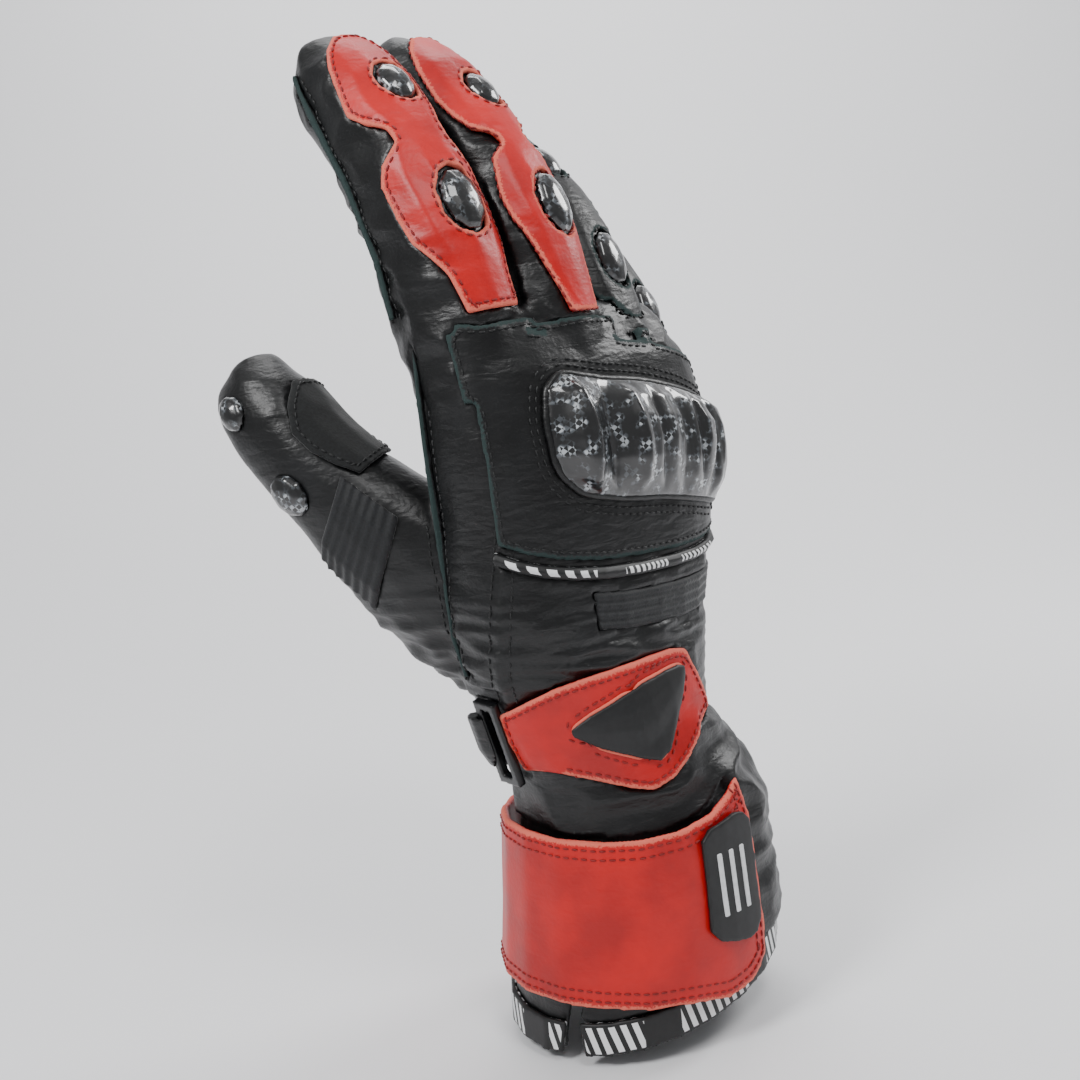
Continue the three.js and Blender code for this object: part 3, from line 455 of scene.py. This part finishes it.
def hand_folds(point, normal):
    wrist = band(point.z, 2 * MM, 38 * MM, 16 * MM)
    fingers = band(point.z, 92 * MM, 190 * MM, 20 * MM)
    creases = ridged(point, 24 * MM, 4.2 * MM, 3.0) * (1.0 * wrist + 0.1) * MM
    puffs = ridged(point, 14 * MM, 10 * MM, 8.0) * (1.1 * fingers + 0.9 * wrist + 0.15) * MM
    seam = math.exp(-((seam_tree.find(point)[2] / (1.6 * MM)) ** 2)) * 0.9 * MM
    return uncovered(point, normal, creases + puffs + seam)


fold(hand, hand_folds)
modify(hand, "SMOOTH", factor=0.4, iterations=1)
modify(hand, "BOOLEAN", operation="DIFFERENCE", object=hand_room, solver="MANIFOLD")
bpy.data.objects.remove(hand_room)
hand.data.shade_smooth()
wear(hand, black_leather, "black_leather", "hand_shell")
print("hand:", len(hand.data.polygons), "faces")

# %% [markdown]
# The sleeve is thin enough to soften whole. Its folds are longer: it slumps between the strap and the flap.

# %% The sleeve
sleeve = merged_copy("gauntlet_sleeve", "sleeve_leather")
soften(sleeve, 0.95, 5)
relax(sleeve, 12)
SLEEVE_AXIS = Vector((4 * MM, -3 * MM))


def facing_out(point, normal):
    """Whether a sleeve vertex is on its outside."""
    return normal.x * (point.x - SLEEVE_AXIS.x) + normal.y * (point.y - SLEEVE_AXIS.y) > 0


def sleeve_folds(point, normal):
    slump = band(point.z, -36 * MM, -8 * MM, 10 * MM)
    side = band(point.x, 14 * MM, 60 * MM, 16 * MM) * band(point.z, -76 * MM, -20 * MM, 12 * MM)
    puff = ridged(point, 20 * MM, 9 * MM, 5.0) * (1.3 * slump + 0.4 + 1.2 * side) * MM + 2.2 * side * MM
    return uncovered(point, normal, puff) if facing_out(point, normal) else 0.0


fold(sleeve, sleeve_folds)
wear(sleeve, black_leather, "black_leather", "gauntlet_sleeve")
print("sleeve:", len(sleeve.data.polygons), "faces")

# %% [markdown]
# A cut edge and a line of stitches both follow a piece's outline. The outline is read from the CAD node: its top
# faces are those with leather under them at the piece's own thickness, and the outline is where they end.

# %% Outlines


def outline_loops(node_name, under=under_hand, deep=(1.0, 6.5)):
    """The closed outlines of a piece's top face, each a list of (point, normal)."""
    pattern = merged_copy(node_name, "pattern")
    mesh = pattern.data
    top = set()
    for polygon in mesh.polygons:
        hit, face_normal, _, distance = under.ray_cast(polygon.center, -polygon.normal, deep[1] * MM)
        if hit is not None and distance > deep[0] * MM and polygon.normal.dot(face_normal) > 0.55:
            top.add(polygon.index)
    count = {}
    normals = {}
    for index in top:
        polygon = mesh.polygons[index]
        for k in polygon.vertices:
            normals[k] = normals.get(k, Vector()) + polygon.normal * polygon.area
        for a, b in polygon.edge_keys:
            count[(a, b)] = count.get((a, b), 0) + 1
    after = {}
    for (a, b), uses in count.items():
        if uses == 1:
            after.setdefault(a, []).append(b)
            after.setdefault(b, []).append(a)
    loops = []
    seen = set()
    for start in after:
        if start in seen:
            continue
        ring = [start]
        seen.add(start)
        while True:
            onward = [k for k in after[ring[-1]] if k not in seen]
            if not onward:
                break
            ring.append(onward[0])
            seen.add(onward[0])
        if len(ring) > 5:
            loops.append([(mesh.vertices[k].co.copy(), normals[k].normalized()) for k in ring])
    bpy.data.objects.remove(pattern)
    return sorted(loops, key=len, reverse=True)


def spaced(loop, pitch, closed=True):
    """Even steps along a loop, its corners rounded a little."""
    ring = loop
    steps = []
    ends = ring[1:] + ring[:1] if closed else ring[1:]
    for (a, normal_a), (b, normal_b) in zip(ring, ends):
        count = max(1, round((b - a).length / (0.25 * MM)))
        steps += [(a.lerp(b, k / count), normal_a.lerp(normal_b, k / count)) for k in range(count)]
    reach = 9
    soft = []
    for k in range(len(steps)):
        near = [steps[(k + j) % len(steps)] for j in range(-reach, reach + 1)]
        middle = sum((p for p, _ in near), Vector()) / len(near)
        soft.append((middle, sum((n for _, n in near), Vector()).normalized()))
    walked = pitch
    kept = []
    for k in range(len(soft)):
        walked += (soft[k][0] - soft[k - 1][0]).length
        if walked >= pitch:
            kept.append(soft[k])
            walked = 0.0
    return kept


def mark_rim(piece, loops, reach):
    """Stores how near each vertex is to the piece's cut edge, 1 at the edge."""
    points = [point for loop in loops for point, _ in spaced(loop, 0.3 * MM)]
    tree = KDTree(max(1, len(points)))
    for k, point in enumerate(points):
        tree.insert(point, k)
    tree.balance()
    values = []
    for vertex in piece.data.vertices:
        distance = tree.find(vertex.co)[2] if points else 1.0
        values.append(max(0.0, 1.0 - distance / (reach * MM)))
    attribute = piece.data.attributes.new("rim", "FLOAT", "POINT")
    attribute.data.foreach_set("value", values)


# %% [markdown]
# Stitches are short waxed threads. One is modelled from a ball, stretched along its run, and its mesh is repeated
# along each outline: inside the outer edge, and outside the edge of a window. Each copy is set on the softened skin.

# %% Stitches
STITCH = 2.3 * MM  # from stitch to stitch, 2 to 3 mm on such a glove
THREAD = 0.34 * MM  # radius of the thread
bpy.ops.object.select_all(action="DESELECT")
bpy.ops.mesh.primitive_uv_sphere_add(segments=6, ring_count=6, radius=1)
one_stitch = bpy.context.object
one_stitch.name = "one_stitch"
bpy.ops.transform.resize(value=(STITCH * 0.42, THREAD, THREAD))
bpy.ops.object.transform_apply(location=False, rotation=False, scale=True)
STITCH_POINTS = [vertex.co.copy() for vertex in one_stitch.data.vertices]
STITCH_FACES = [tuple(polygon.vertices) for polygon in one_stitch.data.polygons]
bpy.data.objects.remove(one_stitch)


def skin_tree(piece):
    points = [vertex.co for vertex in piece.data.vertices]
    return BVHTree.FromPolygons(points, [list(polygon.vertices) for polygon in piece.data.polygons])


def stitched(name, places, thread):
    """One mesh of stitches from (spot, along, normal) places."""
    points = []
    faces = []
    for spot, along, normal in places:
        side = normal.cross(along).normalized()
        start = len(points)
        lift = spot + normal * 0.06 * MM
        points += [lift + along * p.x + side * p.y + normal * p.z for p in STITCH_POINTS]
        faces += [tuple(start + k for k in face) for face in STITCH_FACES]
    mesh = bpy.data.meshes.new(name)
    mesh.from_pydata(points, [], faces)
    piece = bpy.data.objects.new(name, mesh)
    bpy.context.scene.collection.objects.link(piece)
    piece.data.shade_smooth()
    piece.data.materials.append(thread)
    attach(piece, "root")
    print(name, "has", len(places), "stitches")


def row_places(row, tree, inset, centre, closed=True, reach=2.5):
    """The stitches of a row of steps, moved across by an inset away from or towards the centre."""
    places = []
    for k in range(len(row) if closed else len(row) - 1):
        point, normal = row[k]
        run = row[(k + 1) % len(row)][0] - point
        if not 0.2 * STITCH < run.length < 3 * STITCH:
            continue
        along = run.normalized()
        across = normal.cross(along)
        if centre is not None and across.dot(centre - point) < 0:
            across.negate()
        spot, face_normal, _, distance = tree.find_nearest(point + across * inset * MM)
        if spot is not None and distance < reach * MM:
            flat = along - face_normal * along.dot(face_normal)
            places.append((spot, flat.normalized(), face_normal))
    return places


def sew(name, piece, loops, insets, thread):
    """Rows of stitches inside the outer loop and round the windows."""
    tree = skin_tree(piece)
    places = []
    for number, loop in enumerate(loops):
        centre = sum((point for point, _ in loop), Vector()) / len(loop)
        window = number > 0 and len(loop) < len(loops[0])
        for inset in insets:
            places += row_places(spaced(loop, STITCH), tree, -1.5 if window else inset, centre)
    stitched(name, places, thread)


# %% [markdown]
# Each layer of leather is now made the same way: softened, its cut edge marked, and sewn down. The red layers have
# a pale cut edge and dark red thread, the black ones a dull edge and black thread.

# %% The sewn layers
LAYERS = [
    # node, voxel in mm, smoothing passes, material, slot, thread, stitch rows in mm from the edge
    ("index_overlay", 0.5, 6, red_leather, "red_leather", thread_red, (1.9,)),
    ("middle_overlay", 0.5, 6, red_leather, "red_leather", thread_red, (1.9,)),
    ("ring_overlay", 0.5, 6, black_leather, "black_leather", thread_black, (1.9,)),
    ("little_overlay", 0.5, 6, black_leather, "black_leather", thread_black, (1.9,)),
    ("wrist_strap", 0.6, 5, red_leather, "red_leather", thread_red, (2.2,)),
    ("cuff_flap", 0.75, 6, red_leather, "red_leather", thread_red, (2.2, 4.6)),
    ("knuckle_panel", 0.7, 6, black_leather, "black_leather", thread_black, (2.0,)),
    ("thumb_patch", 0.5, 6, suede, "black_leather", thread_black, (1.8,)),
]
dressed = {}
for node_name, voxel, passes, material, slot, thread, insets in LAYERS:
    piece = merged_copy(node_name, node_name + "_leather")
    soften(piece, voxel, passes)
    loops = outline_loops(node_name)
    relax(piece, 60 if node_name == "cuff_flap" else 30, [spaced(loop, 0.5 * MM) for loop in loops])
    mark_rim(piece, loops, 2.4)
    wear(piece, material, slot, node_name)
    sew(node_name + "_stitches", piece, loops, insets, thread)
    dressed[node_name] = piece
    print(node_name, len(piece.data.polygons), "faces,", len(loops), "outlines")

# %% [markdown]
# The trims: bindings, welts, ribs, the loop and the ring. They are narrow, so they need a fine voxel. A welt is two
# raw leather edges sewn together, so its crest is bare: there the rim attribute is high.

# %% The trims
TRIMS = [
    ("ring_loop", 0.5, 8, black_leather, "black_leather"),
    ("strap_ring", 0.4, 4, nylon, "black_plastic"),
    ("flap_badge", 0.4, 8, rubber, "black_rubber"),
    ("thumb_stretch_panel", 0.45, 4, knit, "stretch_fabric"),
    ("back_stretch_panel", 0.45, 4, knit, "stretch_fabric"),
    ("index_side_welt", 0.4, 4, black_leather, "black_leather"),
    ("palm_edge_welt", 0.4, 4, black_leather, "black_leather"),
    ("sleeve_binding", 0.55, 3, printed_band, "black_rubber"),
    ("back_piping", 0.4, 4, printed_band, "black_rubber"),
]


def store(piece, name, values):
    """Stores one number for every vertex."""
    piece.data.attributes.new(name, "FLOAT", "POINT").data.foreach_set("value", values)


for node_name, voxel, passes, material, slot in TRIMS:
    piece = merged_copy(node_name, node_name + "_trim")
    soften(piece, voxel, passes)
    if material == printed_band:
        mark_rim(piece, outline_loops(node_name), 2.0)
        middle = sum(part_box(node_name), Vector()) / 2
        radius = (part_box(node_name)[1].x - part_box(node_name)[0].x) / 2
        back = Vector((SLEEVE_AXIS.x, SLEEVE_AXIS.y, middle.z))
        runs = [math.atan2(v.co.x - back.x, back.y - v.co.y) * radius for v in piece.data.vertices]
        store(piece, "run", [run + math.pi * radius for run in runs])
    if node_name.endswith("welt"):
        heights = [under_hand.find_nearest(vertex.co)[3] for vertex in piece.data.vertices]
        store(piece, "rim", [max(0.0, min(1.0, (height - 0.9 * MM) / (0.7 * MM))) for height in heights])
    wear(piece, material, slot, node_name)
    dressed[node_name] = piece
print("trims:", ", ".join(dressed))

# %% [markdown]
# The side seam of the back of the hand and both welts are sewn down on each side.

# %% Seams on the hand
hand_tree = skin_tree(hand)


def crest(node_name, step=1.2 * MM):
    """The crest of a welt, from low to high, with the hand's normals."""
    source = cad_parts[node_name]
    shelves = {}
    for vertex in source.data.vertices:
        point = source.matrix_world @ vertex.co
        height = under_hand.find_nearest(point)[3]
        if height > 1.2 * MM:
            shelves.setdefault(round(point.z / (3 * step)), []).append(point)
    line = [sum(points, Vector()) / len(points) for _, points in sorted(shelves.items())]
    return [(point, under_hand.find_nearest(point)[1]) for point in line]


def line_steps(line, pitch):
    """Even steps along an open line of (point, normal)."""
    steps = []
    for (a, normal_a), (b, normal_b) in zip(line, line[1:]):
        count = max(1, round((b - a).length / (0.2 * MM)))
        steps += [(a.lerp(b, k / count), normal_a.lerp(normal_b, k / count)) for k in range(count)]
    every = max(1, round(pitch / (0.2 * MM)))
    return steps[::every]


seam_rows = [(point, under_hand.find_nearest(point)[1]) for point in reversed(seam_line)]
places = []
for line in (seam_rows, crest("index_side_welt"), crest("palm_edge_welt")):
    for inset in (-2.4, 2.4):
        places += row_places(line_steps(line, STITCH), hand_tree, inset, None, closed=False, reach=4)
stitched("seam_stitches", places, thread_black)

# %% [markdown]
# A cut leather edge frames the strap's pad, and a rolled leather rim frames the knuckle guard. Both are round
# cords of leather along an outline, drawn as a curve with thickness and then turned into a mesh.


# %% Rims
def rim_cord(name, line, thickness, material, raw=0.0):
    """A closed cord of leather along a line of points."""
    curve = bpy.data.curves.new(name, "CURVE")
    curve.dimensions = "3D"
    curve.bevel_depth = thickness * MM
    curve.bevel_resolution = 3
    spline = curve.splines.new("POLY")
    spline.points.add(len(line) - 1)
    for place, point in zip(spline.points, line):
        place.co = (*point, 1.0)
    spline.use_cyclic_u = True
    piece = bpy.data.objects.new(name, curve)
    bpy.context.scene.collection.objects.link(piece)
    alone(piece)
    bpy.ops.object.convert(target="MESH")
    piece = bpy.context.object
    piece.name = name
    modify(piece, "SMOOTH", factor=0.5, iterations=2)
    piece.data.shade_smooth()
    store(piece, "rim", [raw] * len(piece.data.vertices))
    piece.data.materials.append(material)
    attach(piece, "root")
    return piece


def girth(node_name, tree, lift, reach=1.6, sectors=72):
    """The foot of a raised node, as a loop on the skin below it."""
    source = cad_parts[node_name]
    points = [source.matrix_world @ vertex.co for vertex in source.data.vertices]
    centre = sum(points, Vector()) / len(points)
    _, normal, _, _ = tree.find_nearest(centre)
    side = Vector((0, 0, 1)).cross(normal).normalized()
    up = normal.cross(side)
    far = {}
    for point in points:
        if tree.find_nearest(point)[3] < reach * MM:
            offset = point - centre
            angle = math.atan2(offset.dot(up), offset.dot(side))
            sector = round(angle / (2 * math.pi) * sectors) % sectors
            length = Vector((offset.dot(side), offset.dot(up))).length
            if sector not in far or far[sector][0] < length:
                far[sector] = (length, point)
    loop = []
    for sector in sorted(far):
        point = far[sector][1]
        spot, face_normal, _, _ = tree.find_nearest(point)
        loop.append((spot + face_normal * lift * MM, face_normal))
    return loop


# %% The strap pad
pad = merged_copy("strap_pad", "strap_pad_foam")
soften(pad, 0.45, 12)
wear(pad, rubber, "black_rubber", "strap_pad")
strap_tree = skin_tree(dressed["wrist_strap"])
pad_loop = girth("strap_pad", strap_tree, 0.3, reach=1.2)
rim_cord("strap_pad_edge", [point for point, _ in spaced(pad_loop, 0.8 * MM)], 0.55, red_leather, 1.0)
pad_centre = sum((point for point, _ in pad_loop), Vector()) / len(pad_loop)
places = row_places(spaced(pad_loop, STITCH), strap_tree, -2.0, pad_centre)
stitched("strap_pad_stitches", places, thread_red)

# %% [markdown]
# The hard caps and the knuckle guard are moulded, so they are smoothed more than leather and shine. Each of the
# guard's four knuckles has a crest that runs up the hand, with a soft valley before the next.

# %% Caps and guard
for node_name in [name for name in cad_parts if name.endswith("_cap")]:
    piece = merged_copy(node_name, node_name + "_shell")
    soften(piece, 0.35, 8)
    wear(piece, carbon, "carbon", node_name)

guard = merged_copy("knuckle_guard", "knuckle_guard_shell")
soften(guard, 0.45, 8)
guard_low, guard_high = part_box("knuckle_guard")
KNUCKLES = 4
panel_tree = skin_tree(dressed["knuckle_panel"])


def knuckle(point, normal):
    """A crest on each hump and a groove between."""
    share = (point.x - guard_low.x) / (guard_high.x - guard_low.x) * KNUCKLES
    place = abs(share - math.floor(share) - 0.5) * 2
    height = panel_tree.find_nearest(point)[3]
    raised = max(0.0, min(1.0, (height - 2.5 * MM) / (4 * MM)))
    return (1.5 * math.exp(-((place / 0.2) ** 2)) - 2.0 * place**4) * raised * MM


fold(guard, knuckle)
modify(guard, "SMOOTH", factor=0.5, iterations=3)
guard.data.shade_smooth()
wear(guard, carbon, "carbon", "knuckle_guard")
guard_loop = girth("knuckle_guard", panel_tree, 0.5, reach=2.5)
guard_centre = sum((point for point, _ in guard_loop), Vector()) / len(guard_loop)
rim_cord("guard_rim", [point for point, _ in spaced(guard_loop, 0.9 * MM)], 1.3, black_leather)
places = []
for inset in (-2.6, -4.4):
    places += row_places(spaced(guard_loop, STITCH), panel_tree, inset, guard_centre)
stitched("guard_stitches", places, thread_black)

# %% [markdown]
# The badge carries three plain white bars of rubber, each a small bevelled block laid on its face.

# %% The badge's bars
badge_tree = skin_tree(dressed["flap_badge"])
badge_low, badge_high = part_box("flap_badge")
badge_middle = (badge_low + badge_high) / 2
BADGE_BARS = 3
BAR_SIZE = (1.5 * MM, 0.8 * MM, 17 * MM)
BAR_APART = 4.2 * MM
for k in range(BADGE_BARS):
    spot = badge_middle + Vector(((k - (BADGE_BARS - 1) / 2) * BAR_APART, 0, 0))
    found, out, _, _ = badge_tree.ray_cast(Vector((spot.x, badge_low.y - 20 * MM, spot.z)), Vector((0, 1, 0)))
    bpy.ops.object.select_all(action="DESELECT")
    bpy.ops.mesh.primitive_cube_add(size=1, location=found)
    bar = bpy.context.object
    bar.name = f"badge_bar_{k + 1}"
    bar.dimensions = BAR_SIZE
    bpy.ops.object.transform_apply(location=False, rotation=False, scale=True)
    bpy.ops.object.mode_set(mode="EDIT")
    bpy.ops.mesh.select_all(action="SELECT")
    bpy.ops.mesh.bevel(offset=0.3 * MM, segments=2)
    bpy.ops.mesh.subdivide(number_cuts=2)
    bpy.ops.object.mode_set(mode="OBJECT")
    for vertex in bar.data.vertices:
        world_point = found + vertex.co
        on_face, _, _, _ = badge_tree.ray_cast(Vector((world_point.x, badge_low.y - 20 * MM, world_point.z)), Vector((0, 1, 0)))
        vertex.co.y += (on_face.y if on_face else found.y) - found.y
    bpy.ops.object.transform_apply(location=True, rotation=False, scale=False)
    bar.data.materials.append(white_rubber)
    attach(bar, "root")

# %% [markdown]
# The studio: a pale floor under the glove, a pale world, and three soft lamps. The camera stands off the thumb side
# of the back of the hand, a little above the wrist, and leans as in the photograph.

# %% Studio and camera
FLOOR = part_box("gauntlet_sleeve")[0][2] - 3 * MM
bpy.ops.object.select_all(action="DESELECT")
bpy.ops.mesh.primitive_plane_add(size=3, location=(0, 0, FLOOR))
floor = bpy.context.object
floor.name = "studio_floor"
floor.rotation_euler.z = math.radians(-45)
bpy.ops.object.transform_apply(location=False, rotation=True, scale=False)
SWEEP = Vector((1, 1, 0)).normalized()  # from the camera to the wall
bpy.ops.object.mode_set(mode="EDIT")
bpy.ops.mesh.select_mode(type="EDGE")
bpy.ops.mesh.select_all(action="DESELECT")
bpy.ops.object.mode_set(mode="OBJECT")
for edge in floor.data.edges:
    edge.select = all(floor.data.vertices[k].co.dot(SWEEP) > 1.4 for k in edge.vertices)
bpy.ops.object.mode_set(mode="EDIT")
bpy.ops.mesh.extrude_region_move(TRANSFORM_OT_translate={"value": (0, 0, 2.4)})
bpy.ops.object.mode_set(mode="OBJECT")
for edge in floor.data.edges:
    edge.select = all(floor.data.vertices[k].co.dot(SWEEP) > 1.4 and floor.data.vertices[k].co.z < 0.1 for k in edge.vertices)
bpy.ops.object.mode_set(mode="EDIT")
bpy.ops.mesh.bevel(offset=1.0, segments=24)
bpy.ops.object.mode_set(mode="OBJECT")
floor.data.shade_smooth()
paper, paper_shader = finish("studio paper", 0.9)
paper_shader.inputs["Base Color"].default_value = linear("#e9e9eb")
floor.data.materials.append(paper)

world = bpy.data.worlds.new("studio")
bpy.context.scene.world = world
world.use_nodes = True
world.node_tree.nodes["Background"].inputs["Color"].default_value = linear("#f4f5f7")
world.node_tree.nodes["Background"].inputs["Strength"].default_value = 0.42

CAMERA_TURN = -45.0  # degrees round the glove from its back, towards the thumb
CAMERA_RISE = 8.0
CAMERA_LEAN = -5.5
CAMERA_DISTANCE = 400 * MM
TARGET = Vector((0, 0, 50 * MM))
FRAME_PIXELS = 1080
FOCAL_PIXELS = 1460  # the lens as the photograph's perspective gives it
CENTRE_X, CENTRE_Y = 585, 522  # where the target lies in the photograph
SENSOR = 36.0


def direction(turn, rise):
    """The way from the glove to a place round it, in degrees from its back."""
    a, e = math.radians(turn), math.radians(rise)
    return Vector((math.sin(a) * math.cos(e), -math.cos(a) * math.cos(e), math.sin(e)))


camera = bpy.data.objects.new("camera", bpy.data.cameras.new("camera"))
bpy.context.scene.collection.objects.link(camera)
camera.location = TARGET + direction(CAMERA_TURN, CAMERA_RISE) * CAMERA_DISTANCE
facing = direction(CAMERA_TURN, CAMERA_RISE).to_track_quat("Z", "Y")
lean = Quaternion(direction(CAMERA_TURN, CAMERA_RISE), math.radians(CAMERA_LEAN))
camera.rotation_mode = "QUATERNION"
camera.rotation_quaternion = lean @ facing
camera.data.sensor_width = SENSOR
camera.data.lens = SENSOR * FOCAL_PIXELS / FRAME_PIXELS
camera.data.shift_x = -(CENTRE_X - FRAME_PIXELS / 2) / FRAME_PIXELS
camera.data.shift_y = -(FRAME_PIXELS / 2 - CENTRE_Y) / FRAME_PIXELS
bpy.context.scene.camera = camera


WALL_MIDDLE = SWEEP * 1.5 + Vector((0, 0, 0.5))


def lamp(name, turn, rise, distance, size, power, aim=None):
    """A square soft lamp aimed at the glove, or at another place."""
    light = bpy.data.lights.new(name, "AREA")
    light.size = size
    light.energy = power
    piece = bpy.data.objects.new(name, light)
    bpy.context.scene.collection.objects.link(piece)
    piece.location = TARGET + direction(turn, rise) * distance
    piece.rotation_mode = "QUATERNION"
    back = direction(turn, rise) if aim is None else piece.location - aim
    piece.rotation_quaternion = back.to_track_quat("Z", "Y")


lamp("key", -88, 42, 0.8, 0.22, 4.5)
lamp("front", -20, 55, 0.9, 0.25, 2.5)
lamp("rim", 70, 35, 0.8, 0.25, 3.5)
lamp("wall", 135, 62, 1.5, 0.9, 22, WALL_MIDDLE)
